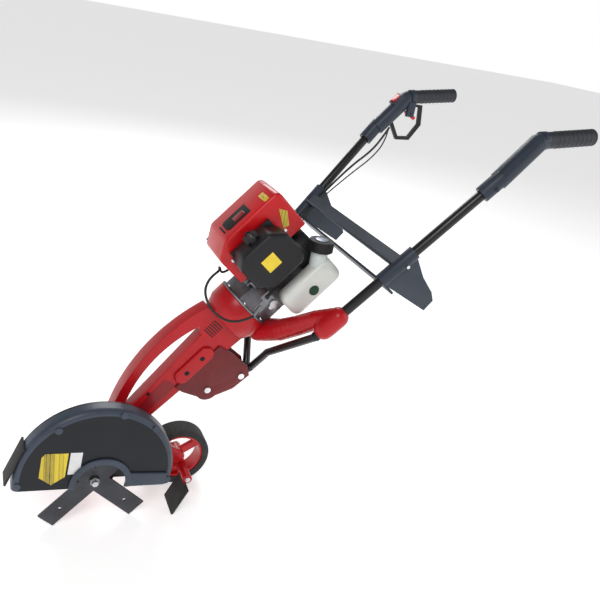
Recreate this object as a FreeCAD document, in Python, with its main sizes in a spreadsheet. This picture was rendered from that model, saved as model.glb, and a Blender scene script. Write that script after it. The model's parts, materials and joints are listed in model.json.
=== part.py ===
import FreeCAD, Part
import math
import os
import Sketcher
from FreeCAD import Vector

# Walk-behind lawn edger, millimetres, +Z up.
# The machine faces -X, its handles point to +X, and its blade is on the left, at -Y.
# Three slanted frames carry most of the pieces:
#   hub      at the blade's centre, level
#   chassis  at the blade's centre, its own X along the drive shaft, up towards the engine
#   handle   at the foot of the handle tubes, its own X along the tubes, in the middle plane

DRIVING_SIZES = {
    # where the blade's centre lies
    "hub_x": -350.202,
    # blade and arbor
    "blade_radius": 127,
    "blade_arm_width": 40,
    "blade_thickness": 5,
    "blade_plane": -100,
    "tip_hole_radius": 3.5,
    "tip_hole_place": 88,
    "arbor_radius": 8.5,
    "arbor_end": -118,
    "thread_radius": 6,
    "flange_radius": 28,
    "flange_thickness": 8,
    "washer_radius": 14,
    "washer_thickness": 3,
    "nut_across": 19,
    "nut_height": 9,
    # gear case, bevel gears and bearings
    "case_radius": 44,
    "case_left": -84,
    "case_right": 34,
    "case_cavity": 36,
    "case_wall": 42,
    "neck_radius": 19,
    "bearing_radius": 20,
    "bearing_width": 12,
    "cover_thickness": 6,
    "gear_radius": 29,
    "gear_teeth": 20,
    "pinion_radius": 13.5,
    "pinion_teeth": 10,
    "tooth_depth": 3,
    "small_bearing_radius": 14,
    "small_bearing_width": 10,
    "shaft_radius": 5,
    "running_gap": 0.05,
    # chassis
    "chassis_tilt": 48,
    "chassis_start": 94,
    "chassis_end": 392,
    "chassis_width": 40,
    "chassis_wall": 3,
    "arch_outer_radius": 391,
    "arch_inner_radius": 288,
    # guard and rubber flaps
    "guard_radius": 152,
    "guard_rise": 18,
    "guard_pitch": 5.5,
    "guard_face": -117,
    "guard_back": -88,
    "guard_wall": 2.5,
    "guard_floor": -8,
    "guard_window_radius": 49,
    "guard_window_x": 9,
    "backplate_thickness": 4,
    "flap_thickness": 4,
    "flap_length": 84,
    # rear wheel and its arm
    "wheel_radius": 69,
    "wheel_behind": 193,
    "tread_width": 40,
    "wheel_plane": -2,
    "tyre_thickness": 15,
    "axle_radius": 6,
    "axle_boss_radius": 10,
    "pivot_radius": 5,
    # engine
    "bell_radius": 62,
    "bell_length": 54,
    "drum_radius": 40,
    "crank_radius": 8,
    "crankcase_length": 136,
    "flywheel_radius": 52,
    "fan_cover_radius": 58,
    "shroud_width": 100,
    "cap_radius": 24.5,
    # handles
    "tube_radius": 10,
    "tube_wall": 2,
    "tube_slope": 50.7,
    "tube_splay": 7.1,
    "tube_foot_x": 392,
    "tube_foot_z": 352,
    "tube_foot_y": 178,
    "tube_length": 470,
    "console_start": 409,
    "grip_radius": 15.5,
    "grip_core_radius": 9,
    "grip_length": 112,
    "grip_slope": 8.3,
    "fork_radius": 8,
    "bolt_radius": 4,
    "cable_radius": 2.5,
    "wire_radius": 1.6,
}

doc = FreeCAD.newDocument("lawn_edger")
sheet = doc.addObject("Spreadsheet::Sheet", "sizes")


class Size:
    """A number together with the spreadsheet formula that gives it."""

    def __init__(self, value, text=None):
        self.value = float(value)
        self.text = text if text is not None else f"{value:.9g}"

    def _join(self, other, sign, result):
        return Size(result, f"({self.text} {sign} {as_size(other).text})")

    def __add__(self, other):
        return self._join(other, "+", self.value + float(other))

    def __sub__(self, other):
        return self._join(other, "-", self.value - float(other))

    def __mul__(self, other):
        return self._join(other, "*", self.value * float(other))

    def __truediv__(self, other):
        return self._join(other, "/", self.value / float(other))

    def __radd__(self, other):
        return as_size(other) + self

    def __rsub__(self, other):
        return as_size(other) - self

    def __rmul__(self, other):
        return as_size(other) * self

    def __rtruediv__(self, other):
        return as_size(other) / self

    def __neg__(self):
        return as_size(0) - self

    def __float__(self):
        return self.value


def as_size(number):
    return number if isinstance(number, Size) else Size(number)


def root(number):
    return Size(math.sqrt(float(number)), f"sqrt({as_size(number).text})")


def sine(degrees):
    return Size(math.sin(math.radians(float(degrees))), f"sin({as_size(degrees).text})")


def cosine(degrees):
    return Size(math.cos(math.radians(float(degrees))), f"cos({as_size(degrees).text})")


def turn_of(run, rise):
    """The angle in degrees of a line that goes run along and rise up."""
    angle = math.degrees(math.atan2(float(rise), float(run)))
    return Size(angle, f"atan2({as_size(rise).text}; {as_size(run).text})")


class Sizes:
    pass


s = Sizes()
for row, (name, number) in enumerate(DRIVING_SIZES.items(), start=1):
    sheet.set(f"A{row}", name)
    sheet.set(f"B{row}", str(number))
    sheet.setAlias(f"B{row}", name)
    setattr(s, name, Size(number, f"sizes.{name}"))
doc.recompute()

# Sizes that follow from the driving ones.
HALF_ARM = s.blade_arm_width / 2
HUB_HEIGHT = (root(s.blade_radius * s.blade_radius - HALF_ARM * HALF_ARM) + HALF_ARM) / root(2)
BLADE_LEFT = s.blade_plane - s.blade_thickness / 2
BLADE_RIGHT = s.blade_plane + s.blade_thickness / 2
HALF_CHASSIS = s.chassis_width / 2
AXLE_X = s.wheel_behind
AXLE_Z = s.wheel_radius - HUB_HEIGHT
BELL_END = s.chassis_end + s.bell_length
CASE_FRONT = BELL_END + 4
FAN_START = CASE_FRONT + s.crankcase_length + 4
SHAFT_END = s.chassis_end + 32


# ---- building helpers -------------------------------------------------------------

def bind(thing, prop, size):
    thing.setExpression(prop, as_size(size).text)


def place(thing, x=0, y=0, z=0, yaw=0, pitch=0, roll=0):
    spots = [as_size(number).text for number in (x, y, z, yaw, pitch, roll)]
    vector = f"vector({spots[0]}; {spots[1]}; {spots[2]})"
    rotation = f"rotation({spots[3]}; {spots[4]}; {spots[5]})"
    thing.setExpression("Placement", f"placement({vector}; {rotation})")
    return thing


def box(x, y, z, length, width, height, **turns):
    """A box with one corner at x, y, z."""
    piece = doc.addObject("Part::Box", "block")
    bind(piece, "Length", length)
    bind(piece, "Width", width)
    bind(piece, "Height", height)
    return place(piece, x, y, z, **turns)


AXIS_TURNS = {"X": {"pitch": 90}, "Y": {"roll": -90}, "Z": {}}


def rod(axis, radius, length, x=0, y=0, z=0):
    """A round bar that starts at x, y, z and runs towards plus its axis."""
    piece = doc.addObject("Part::Cylinder", "rod")
    bind(piece, "Radius", radius)
    bind(piece, "Height", length)
    return place(piece, x, y, z, **AXIS_TURNS[axis])


def cone(axis, first, last, length, x=0, y=0, z=0):
    piece = doc.addObject("Part::Cone", "cone")
    bind(piece, "Radius1", first)
    bind(piece, "Radius2", last)
    bind(piece, "Height", length)
    return place(piece, x, y, z, **AXIS_TURNS[axis])


def ball(radius, x=0, y=0, z=0):
    piece = doc.addObject("Part::Sphere", "ball")
    bind(piece, "Radius", radius)
    return place(piece, x, y, z)


def hexagon(across, height, x=0, y=0, z=0):
    """A hexagonal bar along Y."""
    piece = doc.addObject("Part::Prism", "hexagon")
    piece.Polygon = 6
    bind(piece, "Circumradius", across / root(3))
    bind(piece, "Height", height)
    return place(piece, x, y, z, **AXIS_TURNS["Y"])


def strut(start, end, radius, end_radius=None):
    """A round bar between two points, straight or tapered."""
    run = [as_size(last) - first for first, last in zip(start, end)]
    flat = root(run[0] * run[0] + run[1] * run[1])
    length = root(flat * flat + run[2] * run[2])
    if end_radius is None:
        piece = doc.addObject("Part::Cylinder", "strut")
        bind(piece, "Radius", radius)
    else:
        piece = doc.addObject("Part::Cone", "strut")
        bind(piece, "Radius1", radius)
        bind(piece, "Radius2", end_radius)
    bind(piece, "Height", length)
    return place(piece, *start, yaw=turn_of(run[0], run[1]), pitch=turn_of(run[2], flat))


def fuse(*pieces):
    joined = doc.addObject("Part::MultiFuse", "fused")
    joined.Shapes = list(pieces)
    joined.Refine = True
    return joined


def cut(base, *tools):
    result = doc.addObject("Part::Cut", "cut")
    result.Base = base
    result.Tool = tools[0] if len(tools) == 1 else fuse(*tools)
    result.Refine = True
    return result


def common(first, second):
    result = doc.addObject("Part::Common", "common")
    result.Base = first
    result.Tool = second
    return result


def ring(axis, outer, inner, length, x=0, y=0, z=0):
    return cut(rod(axis, outer, length, x, y, z), rod(axis, inner, length, x, y, z))


def plate(outline, thickness, y=0):
    """A flat piece in the XZ plane, from y towards -Y.

    Each corner of the outline is (x, z); a third item is the radius of an arc that bulges
    outwards from this corner to the next.
    """
    body = doc.addObject("PartDesign::Body", "plate")
    sketch = body.newObject("Sketcher::SketchObject", "outline")
    plane = [part for part in body.Origin.OriginFeatures if part.Role == "XZ_Plane"][0]
    sketch.AttachmentSupport = (plane, [""])
    sketch.MapMode = "FlatFace"
    corners = [Vector(float(corner[0]), float(corner[1]), 0) for corner in outline]
    count = len(corners)
    for index, corner in enumerate(outline):
        here, there = corners[index], corners[(index + 1) % count]
        if len(corner) == 3:
            chord = there - here
            reach = float(corner[2])
            bulge = reach - math.sqrt(reach * reach - chord.Length ** 2 / 4)
            outward = Vector(chord.y, -chord.x, 0).normalize()
            middle = (here + there) / 2 + outward * bulge
            sketch.addGeometry(Part.Arc(here, middle, there), False)
        else:
            sketch.addGeometry(Part.LineSegment(here, there), False)
    def end_of(number, at_start):
        point = sketch.getPoint(number, 1)
        target = corners[number] if at_start else corners[(number + 1) % count]
        return 1 if (point - target).Length < 1e-6 else 2
    for index, corner in enumerate(outline):
        after = (index + 1) % count
        sketch.addConstraint(Sketcher.Constraint("Coincident", index, end_of(index, False),
                                                 after, end_of(after, True)))
    for index, corner in enumerate(outline):
        end = end_of(index, True)
        for kind, size in (("DistanceX", corner[0]), ("DistanceY", corner[1])):
            number = sketch.addConstraint(
                Sketcher.Constraint(kind, -1, 1, index, end, float(size)))
            sketch.setExpression(f"Constraints[{number}]", as_size(size).text)
        if len(corner) == 3:
            number = sketch.addConstraint(Sketcher.Constraint("Radius", index, float(corner[2])))
            sketch.setExpression(f"Constraints[{number}]", as_size(corner[2]).text)
    pad = body.newObject("PartDesign::Pad", "pad")
    pad.Profile = sketch
    bind(pad, "Length", thickness)
    body.Tip = pad
    return place(body, y=y)


NODES = []
BOLTS = []
BEARINGS = []
FRAMES = {
    "ground": {},
    "hub": {"x": s.hub_x, "z": HUB_HEIGHT},
    "blade": {"x": s.hub_x, "z": HUB_HEIGHT, "pitch": 45},
    "guard": {"x": s.hub_x, "z": HUB_HEIGHT, "pitch": s.guard_pitch},
    "chassis": {"x": s.hub_x, "z": HUB_HEIGHT, "pitch": -s.chassis_tilt},
    "handle": {"x": s.hub_x + s.tube_foot_x, "z": HUB_HEIGHT + s.tube_foot_z,
               "pitch": -s.tube_slope},
}


def group(*pieces):
    """Separate solids that share one node."""
    held = doc.addObject("Part::Compound", "group")
    held.Links = list(pieces)
    return held


def stand(piece, frame):
    """Put a piece drawn in one of the frames where it belongs above the ground."""
    return place(group(piece), **FRAMES[frame])


def node(label, piece, frame):
    """Name a finished sub-part and stand it in the frame that it was drawn in."""
    if piece.TypeId not in ("Part::Cut", "Part::MultiFuse", "Part::Common", "Part::Compound"):
        piece = group(piece)
    piece.Label = label
    NODES.append(place(piece, **FRAMES[frame]))


def screws(spots, axis, head, head_height, shank, shank_length):
    """Screws at x, y, z spots: shanks run towards plus the axis, heads the other way."""
    back = {"X": (-1, 0, 0), "Y": (0, -1, 0), "Z": (0, 0, -1)}[axis]
    made = []
    for x, y, z in spots:
        step = [part * as_size(head_height) for part in back]
        top = rod(axis, head, head_height, x + step[0], y + step[1], z + step[2])
        made.append(fuse(top, rod(axis, shank, shank_length, x, y, z)))
    return made


def around(radius, count, first=0):
    """Pairs of offsets on a circle."""
    spots = []
    for index in range(count):
        angle = first + 360 / count * index
        spots.append((radius * cosine(angle), radius * sine(angle)))
    return spots


# ---- blade, arbor and its gears ---------------------------------------------------

def blade():
    reach = root(s.blade_radius * s.blade_radius - HALF_ARM * HALF_ARM)
    wide, thick = s.blade_arm_width, s.blade_thickness
    arms = [box(-reach, BLADE_LEFT, -HALF_ARM, reach * 2, thick, wide),
            box(-HALF_ARM, BLADE_LEFT, -reach, wide, thick, reach * 2)]
    holes = [rod("Y", s.thread_radius, thick, 0, BLADE_LEFT, 0)]
    for x, z in around(s.tip_hole_place, 4):
        holes.append(rod("Y", s.tip_hole_radius, thick, x, BLADE_LEFT, z))
    node("blade", cut(fuse(*arms), *holes), "blade")


def arbor():
    shoulder = BLADE_RIGHT + s.flange_thickness
    right = s.case_right - 2
    shaft = fuse(rod("Y", s.thread_radius, shoulder - s.arbor_end, 0, s.arbor_end, 0),
                 rod("Y", s.arbor_radius, right - shoulder, 0, shoulder, 0))
    node("arbor", shaft, "hub")
    flange = fuse(rod("Y", s.flange_radius, s.flange_thickness / 2, 0, BLADE_RIGHT, 0),
                  rod("Y", s.flange_radius * 0.6, s.flange_thickness, 0, BLADE_RIGHT, 0))
    bore = rod("Y", s.thread_radius, s.flange_thickness, 0, BLADE_RIGHT, 0)
    flange = cut(flange, bore)
    washer_left = BLADE_LEFT - s.washer_thickness
    washer = ring("Y", s.washer_radius, s.thread_radius, s.washer_thickness, 0, washer_left, 0)
    nut_left = washer_left - s.nut_height
    nut = cut(hexagon(s.nut_across, s.nut_height, 0, nut_left, 0),
              rod("Y", s.thread_radius, s.nut_height, 0, nut_left, 0))
    node("blade_clamp", group(flange, washer, nut), "blade")


def bevel_gears():
    # The pitch cones meet at the hub's centre, on the shaft's line; the tips stop short of it.
    gear_far = -s.gear_radius * s.pinion_teeth / s.gear_teeth
    face = 9
    gear_near = gear_far + face * 0.45
    hub_left = gear_far - 8
    blank = fuse(cone("Y", s.gear_radius, s.gear_radius - face, gear_near - gear_far, 0, gear_far, 0),
                 rod("Y", s.gear_radius, 4, 0, gear_far - 4, 0),
                 rod("Y", s.arbor_radius + 6, 8, 0, hub_left, 0))
    notches = [rod("Y", s.arbor_radius, 30, 0, hub_left, 0)]
    gap = math.pi * s.gear_radius * 0.8 / s.gear_teeth
    for index in range(int(s.gear_teeth.value)):
        angle = 360 / s.gear_teeth * index
        notches.append(box(s.gear_radius * 0.6 * cosine(angle) - gap / 2 * sine(angle),
                           gear_near - s.tooth_depth,
                           -s.gear_radius * 0.6 * sine(angle) - gap / 2 * cosine(angle),
                           s.gear_radius, s.tooth_depth * 2, gap, pitch=angle))
    node("bevel_gear", cut(blank, *notches), "hub")

    pinion_far = s.gear_radius + 0.5
    pinion_near = pinion_far - face
    blank = fuse(cone("X", s.pinion_radius * 0.72, s.pinion_radius, face, pinion_near, 0, 0),
                 rod("X", s.pinion_radius, 2, pinion_far, 0, 0))
    notches = []
    gap = math.pi * s.pinion_radius * 0.8 / s.pinion_teeth
    for index in range(int(s.pinion_teeth.value)):
        angle = 360 / s.pinion_teeth * index
        deep = s.pinion_radius - s.tooth_depth
        notches.append(box(pinion_near - 1, deep * cosine(angle) + gap / 2 * sine(angle),
                           deep * sine(angle) - gap / 2 * cosine(angle), face + 4, s.pinion_radius,
                           gap, roll=angle))
    shaft = rod("X", s.shaft_radius, SHAFT_END - pinion_near, pinion_near, 0, 0)
    node("pinion_shaft", fuse(cut(blank, *notches), shaft), "chassis")


def case_screw_spots():
    radius = (s.case_radius + s.case_cavity) / 2
    return [(x, s.case_right + s.cover_thickness, z) for x, z in around(radius, 6, 30)]


def gear_case():
    left, right = s.case_left, s.case_right
    seat = left + s.case_wall
    neck_end = s.chassis_start - 6
    lug_y, lug_wide = arm_lug()
    solid = fuse(rod("Y", s.case_radius, right - left, 0, left, 0),
                 rod("X", s.neck_radius, neck_end, 0, 0, 0),
                 box(neck_end, -HALF_CHASSIS, -33, 6, s.chassis_width, 71),
                 box(40, lug_y, -44, 50, lug_wide, 40),
                 rod("Y", 13, lug_wide, 78, lug_y, -44))
    hollow = [rod("Y", s.case_cavity, right - seat, 0, seat, 0),
              rod("Y", s.bearing_radius, s.bearing_width, 0, seat - s.bearing_width, 0),
              rod("Y", s.arbor_radius + 1, s.case_wall, 0, left, 0),
              rod("X", s.small_bearing_radius, 60, 0, 0, 0),
              rod("X", s.shaft_radius + 3, 80, 30, 0, 0),
              rod("Y", s.pivot_radius, lug_wide, 78, lug_y, -44)]
    hollow += [rod("Y", 1.5, 12, x, right - 12, z) for x, y, z in case_screw_spots()]
    hollow += [rod("Y", 2.5, 12, x, left, z) for x, y, z in backplate_screw_spots()]
    node("gear_case", cut(solid, *hollow), "chassis")

    boss = s.bearing_width + 2
    cover = fuse(rod("Y", s.case_radius, s.cover_thickness, 0, right, 0),
                 rod("Y", s.bearing_radius + 4, boss, 0, right - boss, 0))
    holes = [rod("Y", s.bearing_radius, s.bearing_width, 0, right - boss, 0)]
    holes += [rod("Y", 1.5, s.cover_thickness, x, right, z) for x, y, z in case_screw_spots()]
    node("gear_case_cover", cut(cover, *holes), "chassis")
    heads = [fuse(rod("Y", 3, 3, x, y, z), rod("Y", 1.5, 12, x, y - 12, z))
             for x, y, z in case_screw_spots()]
    heads += screws(backplate_screw_spots(), "Y", 5, 3, 2.5, 16)
    spots = [(x, s.guard_face, z) for x, z in GUARD_SCREWS]
    cover_screws = group(*screws(spots, "Y", 4, 2, 2, 10))
    node("cutting_end_screws", group(stand(group(*heads), "chassis"), stand(cover_screws, "guard")),
         "ground")

    inner = s.arbor_radius + s.running_gap
    bearings = [ring("Y", s.bearing_radius, inner, s.bearing_width, 0, y, 0)
                for y in (seat - s.bearing_width, right - boss)]
    bearings.append(ring("X", s.small_bearing_radius, s.shaft_radius + s.running_gap,
                         s.small_bearing_width, 50, 0, 0))
    BEARINGS.extend(bearings)


# ---- guard and flaps --------------------------------------------------------------

def backplate_screw_spots():
    return [(x, s.guard_back, z) for x, z in around(33, 4, 45)]


def guard_block(inset, low, y, thickness):
    """The half-round body of the guard with its short straight sides."""
    radius = s.guard_radius - inset
    round_part = rod("Y", radius, thickness, 0, y, s.guard_rise)
    upper = box(-radius, y, s.guard_rise, radius * 2, thickness, radius)
    skirt = box(-radius, y, low, radius * 2, thickness, s.guard_rise - low)
    return fuse(common(round_part, upper), skirt)


GUARD_SCREWS = ((-84, 127), (31, 159), (98, 128), (-143, 4), (66, 3), (143, 4))


def guard():
    deep = s.guard_back - s.guard_face
    shell = guard_block(0, s.guard_floor, s.guard_face, deep)
    hollow = guard_block(s.guard_wall, s.guard_floor - 10, s.guard_face + s.guard_wall, deep)
    window = rod("Y", s.guard_window_radius, 20, s.guard_window_x, s.guard_face - 5, 2)
    bosses = [rod("Y", 6, 9, x, s.guard_face + s.guard_wall, z) for x, z in GUARD_SCREWS]
    holes = [rod("Y", 2, 10, x, s.guard_face, z) for x, z in GUARD_SCREWS]
    node("blade_guard", cut(fuse(cut(shell, hollow, window), *bosses), *holes), "guard")


def backplate():
    panel = guard_block(0, s.guard_floor, s.guard_back, s.backplate_thickness)
    holes = [rod("Y", s.bearing_radius, 20, 0, s.guard_back - 5, 0)]
    for x, z in around(33, 4, 45 + s.chassis_tilt + s.guard_pitch):
        holes.append(rod("Y", 2.5, 20, x, s.guard_back - 5, z))
    node("guard_backplate", cut(panel, *holes), "guard")


def front_flap():
    flap = box(-s.guard_radius - 14, s.guard_face + 1, 6, s.flap_thickness, 42, s.flap_length,
               pitch=17.5)
    node("front_flap", cut(flap, guard_block(0, s.guard_floor, s.guard_face - 5, 100)), "guard")


# ---- rear wheel and its swinging arm ----------------------------------------------

def arm_lug():
    """The left face and the width of the lug that carries the arm's pivot."""
    return as_size(-28), as_size(22)


def pivot_spot():
    along, across = 78, -44
    x = along * cosine(s.chassis_tilt) - across * sine(s.chassis_tilt)
    z = along * sine(s.chassis_tilt) + across * cosine(s.chassis_tilt)
    return x, z


def wheel_arm():
    px, pz = pivot_spot()
    lug_y, lug_wide = arm_lug()
    boss_left, boss_right = as_size(-100), s.wheel_plane - s.tread_width / 2 - 5
    web_left = as_size(-57)
    web_right = lug_y - 2
    web = fuse(rod("Y", 13, web_right - web_left, px, web_left, pz),
               rod("Y", s.axle_boss_radius, boss_right - boss_left, AXLE_X, boss_left, AXLE_Z),
               plate([(px - 6, pz - 11), (AXLE_X - 8, AXLE_Z - 8), (AXLE_X + 10, AXLE_Z + 2),
                      (AXLE_X - 4, AXLE_Z + 34), (px + 50, pz + 8), (px, pz + 13)],
                     12, web_right - 6))
    holes = [rod("Y", s.pivot_radius + s.running_gap, 60, px, web_left - 10, pz),
             rod("Y", s.axle_radius, 120, AXLE_X, boss_left - 10, AXLE_Z)]
    node("wheel_arm", cut(web, *holes), "hub")
    left = web_left - 4
    bolt = fuse(rod("Y", 8, 3.5, px, left, pz),
                rod("Y", s.pivot_radius, lug_y + lug_wide + 5 - left, px, left, pz))
    nut = cut(hexagon(13, 5, px, lug_y + lug_wide, pz),
              rod("Y", s.pivot_radius, 5, px, lug_y + lug_wide, pz))
    BOLTS.append(stand(group(bolt, nut), "hub"))

    right = s.wheel_plane + s.tread_width / 2
    bar = rod("Y", s.axle_radius, right + 14 - boss_left, AXLE_X, boss_left - 2, AXLE_Z)
    nut = cut(hexagon(17, 7, AXLE_X, right + 3, AXLE_Z),
              rod("Y", s.axle_radius, 7, AXLE_X, right + 3, AXLE_Z))
    spacer = ring("Y", 9, s.axle_radius, 4, AXLE_X, boss_right, AXLE_Z)
    node("axle", group(bar, nut, spacer), "hub")
    flap = box(AXLE_X - 35, -124, -HUB_HEIGHT + 1, s.flap_thickness, 64, 78, pitch=26.5)
    flap = cut(flap, box(AXLE_X - 80, -130, -HUB_HEIGHT - 20, 160, 80, 21.5),
               rod("Y", s.axle_boss_radius, 120, AXLE_X, -140, AXLE_Z))
    node("rear_flap", flap, "hub")


def wheel():
    left = s.wheel_plane - s.tread_width / 2
    rim = s.wheel_radius - s.tyre_thickness
    tyre = ring("Y", s.wheel_radius, rim, s.tread_width, AXLE_X, left, AXLE_Z)
    node("tyre", tyre, "hub")
    bore = s.axle_radius + s.running_gap
    hub_left, hub_wide = left + 0.5, s.tread_width - 1
    spokes = [box(AXLE_X - 8 * sine(angle), hub_left + 12, AXLE_Z - 8 * cosine(angle), rim - 3, 10,
                  16, pitch=angle) for angle in (90, 210, 330)]
    disc = fuse(ring("Y", rim, rim - 5, s.tread_width - 4, AXLE_X, left + 2, AXLE_Z),
                rod("Y", 14, hub_wide, AXLE_X, hub_left, AXLE_Z), *spokes)
    node("wheel_hub", cut(disc, rod("Y", bore, 80, AXLE_X, left - 10, AXLE_Z)), "hub")


# ---- chassis ----------------------------------------------------------------------

def chassis_outline():
    front, back = s.chassis_start, s.chassis_end
    return [(front, -33), (213, -39.5), (300, -44), (back, -50),
            (back, 62.5, s.arch_outer_radius), (104.6, 41.3), (front, 38)]


def chassis_half(label, right_side):
    """One clamshell half of the beam and of the carrying arch above it."""
    y = HALF_CHASSIS if right_side else as_size(0)
    shell = plate(chassis_outline(), HALF_CHASSIS, y)
    window = plate([(122, 11), (342, 25), (350, 43, s.arch_inner_radius), (128, 27)],
                   s.chassis_width * 2, s.chassis_width)
    wall = s.chassis_wall
    inside = y - HALF_CHASSIS if right_side else y - HALF_CHASSIS + wall
    depth = HALF_CHASSIS - wall
    beam = plate([(s.chassis_start + wall, -30), (300, -40), (s.chassis_end - wall, -45),
                  (s.chassis_end - wall, 20), (s.chassis_start + wall, 8)], depth, inside + depth)
    ends = rod("X", s.shaft_radius + 3, 400, s.chassis_start - 5, 0, 0)
    half = cut(shell, window, beam, ends)
    node(label, half, "chassis")


FORK_BOLT_SPOT = (332, -117)


def lower_bracket():
    outline = [(224, -44), (240, -90), (262, -109), (300, -128), (345, -132), (358, -112),
               (356, -60), (350, -24), (222, -24)]
    wide = s.chassis_width + 8
    sides = plate(outline, wide, wide / 2)
    disc = rod("Y", 26, wide, 262, -wide / 2, -83)
    gap = box(200, -HALF_CHASSIS, -145, 170, s.chassis_width, 150)
    web = box(236, -HALF_CHASSIS, -58, 90, s.chassis_width, 5)
    pin = rod("Y", 9, s.chassis_width, 262, -HALF_CHASSIS, -83)
    solid = fuse(cut(fuse(sides, disc), gap), web, pin)
    bores = [rod("Y", s.bolt_radius, 80, 262, -40, -83),
             rod("Y", s.bolt_radius, 80, FORK_BOLT_SPOT[0], -40, FORK_BOLT_SPOT[1])]
    node("lower_bracket", cut(solid, *bores), "chassis")
    bolts = [fuse(rod("Y", 7, 4, x, -wide / 2 - 4, z),
                  rod("Y", s.bolt_radius, wide + 8, x, -wide / 2, z),
                  hexagon(13, 5, x, wide / 2, z)) for x, z in ((262, -83), FORK_BOLT_SPOT)]
    BOLTS.append(stand(group(*bolts), "chassis"))


# ---- clutch and engine ------------------------------------------------------------

def clutch():
    start, wall = s.chassis_end, 4
    solid = fuse(cone("X", s.bell_radius - 10, s.bell_radius, 24, start, 0, 0),
                 rod("X", s.bell_radius, s.bell_length - 24, start + 24, 0, 0))
    hollow = fuse(cone("X", s.bell_radius - 14, s.bell_radius - wall, 20, start + wall, 0, 0),
                  rod("X", s.bell_radius - wall, s.bell_length - 24, start + 24, 0, 0))
    boss = rod("X", s.small_bearing_radius + 4, 16, start + wall, 0, 0)
    bores = [rod("X", s.small_bearing_radius, 12, start + 8, 0, 0),
             rod("X", s.shaft_radius + 3, 30, start, 0, 0)]
    node("clutch_housing", cut(fuse(cut(solid, hollow), boss), *bores), "chassis")
    drum = fuse(rod("X", s.drum_radius, 3, SHAFT_END - 3, 0, 0),
                ring("X", s.drum_radius, s.drum_radius - 3, 18, SHAFT_END - 3, 0, 0),
                rod("X", 9, 8, SHAFT_END - 8, 0, 0))
    drum = cut(drum, rod("X", s.shaft_radius, 40, SHAFT_END - 40, 0, 0))
    node("clutch_drum", drum, "chassis")
    for label, side in (("clutch_shoe_upper", 1), ("clutch_shoe_lower", -1)):
        shoe = ring("X", s.drum_radius - 6, 13.5, 10, SHAFT_END + 2, 0, 0)
        keep = box(SHAFT_END, -50, 1.5 if side > 0 else -51.5, 20, 100, 50)
        node(label, common(shoe, keep), "chassis")


def crank_train():
    start = SHAFT_END + 2
    carrier = rod("X", 13, 10, start, 0, 0)
    line = rod("X", s.crank_radius, FAN_START + 30 - start, start, 0, 0)
    node("crankshaft", fuse(carrier, line), "chassis")
    fan = fuse(rod("X", s.flywheel_radius, 6, FAN_START + 5, 0, 0),
               rod("X", 16, 20, FAN_START + 5, 0, 0))
    blades = []
    for index in range(12):
        angle = 30 * index
        blades.append(box(FAN_START + 11, 26 * cosine(angle), 26 * sine(angle), 9, 24, 2.5,
                          roll=angle))
    node("flywheel_fan", cut(fuse(fan, *blades), rod("X", s.crank_radius, 60, FAN_START, 0, 0)),
         "chassis")


def crankcase():
    start = CASE_FRONT
    length = s.crankcase_length
    outer = fuse(box(start, -42, -45, length, 84, 85),
                 rod("X", s.bell_radius, 4, start - 4, 0, 0))
    inner = box(start + 5, -37, -40, length - 10, 74, 75)
    bores = [rod("X", s.bearing_radius - 4, length + 20, start - 10, 0, 0),
             rod("Z", 22, 20, start + 68, 0, 30)]
    node("crankcase", cut(outer, inner, *bores), "chassis")
    crank_bore = s.crank_radius + s.running_gap
    bearings = [ring("X", s.bearing_radius - 4, crank_bore, 9, along, 0, 0)
                for along in (start - 4, start + length - 9)]
    bearings.append(ring("X", s.small_bearing_radius, s.shaft_radius + s.running_gap,
                         s.small_bearing_width, s.chassis_end + 8, 0, 0))
    BEARINGS.extend(bearings)


def cylinder():
    along, across = CASE_FRONT + 68, 40
    barrel = rod("Z", 28, 70, along, 0, 40)
    fins = [box(along - 38, -38, 46 + 9 * index, 76, 76, 3) for index in range(7)]
    head = box(along - 30, -30, 106, 60, 60, 8)
    valve_cover = [box(along - 32, -28, 114, 64, 56, 12), box(along - 26, -22, 126, 52, 44, 4)]
    bore = rod("Z", 19.5, 66, along, 0, across)
    node("cylinder", cut(fuse(barrel, head, *fins, *valve_cover), bore), "chassis")
    plug = fuse(rod("X", 6, 14, along + 38, 0, 98), rod("X", 8, 6, along + 44, 0, 98))
    cap = cut(rod("X", 9, 24, along + 51, 0, 98), rod("X", 6, 30, along + 45, 0, 98))
    node("spark_plug", group(plug, cap), "chassis")


def shroud():
    start, end, low, high = as_size(476), as_size(650), 60, 162
    half = s.shroud_width / 2
    outline = [(start, low), (end - 18, low), (end, low + 20), (end, high - 10),
               (end - 10, high), (start + 36, high), (start, high - 26)]
    inner = [(start + 3, low - 5), (end - 20, low - 5), (end - 3, low + 20), (end - 3, high - 11),
             (end - 11, high - 3), (start + 37, high - 3), (start + 3, high - 27)]
    body = plate(outline, s.shroud_width, half)
    hollow = plate(inner, s.shroud_width - 6, half - 3)
    slots = [box(start - 2, -30 + 12 * index, 96, 12, 6, 26) for index in range(5)]
    slots += [box(570 + 16 * index, half - 5, 80, 7, 10, 40) for index in range(4)]
    ports = [box(513, -half - 5, 61, 42, 10, 36), box(514, half - 5, 75, 24, 10, 18)]
    node("top_shroud", cut(body, hollow, *slots, *ports), "chassis")
    spots = [(start + 20, 120), (end - 40, 90)]
    pieces = [rod("Y", 4, 3, x, y, z) for x, z in spots for y in (half, -half - 3)]
    pieces += [rod("X", 4, 4, CASE_FRONT, y, z) for y, z in around(54, 6, 30)]
    node("engine_screws", group(*pieces), "chassis")


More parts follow.
